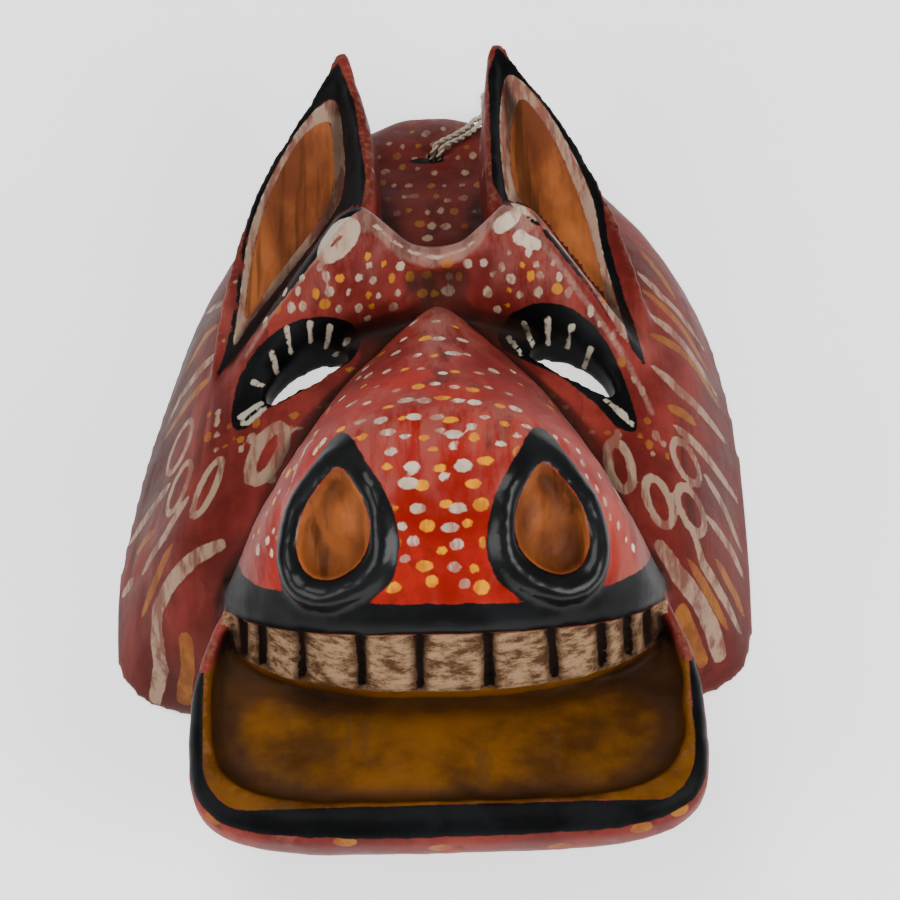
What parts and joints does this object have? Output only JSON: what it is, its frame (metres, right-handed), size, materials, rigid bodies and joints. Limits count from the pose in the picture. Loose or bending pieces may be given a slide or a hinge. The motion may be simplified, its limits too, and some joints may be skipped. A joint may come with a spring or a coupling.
{
  "type": "animal mask",
  "caption": "Carved and painted wooden animal mask with pricked ears, a horned brow, a long muzzle with flared nostrils, a row of teeth and a jutting lower jaw, with a string to hang it by",
  "frame": {"origin": "middle of the mask's outline on the flat of its rim, the plane it lies on, string left out", "axes": "+Z out of the face, +Y towards the ears, +X across the face towards the ear that is on the right of the picture"},
  "size_m": [0.2292, 0.3244, 0.143],
  "materials": {
    "painted_wood": "hand painted dark red with cream and ochre marks, black outlines and a worn wax polish",
    "cotton_string": "twisted cotton",
    "knotted_string": "twisted cotton"
  },
  "bodies": {
    "root": {"carved_mask": "painted_wood", "hanging_cord": "cotton_string", "cord_knot": "knotted_string"}
  },
  "joints": []
}
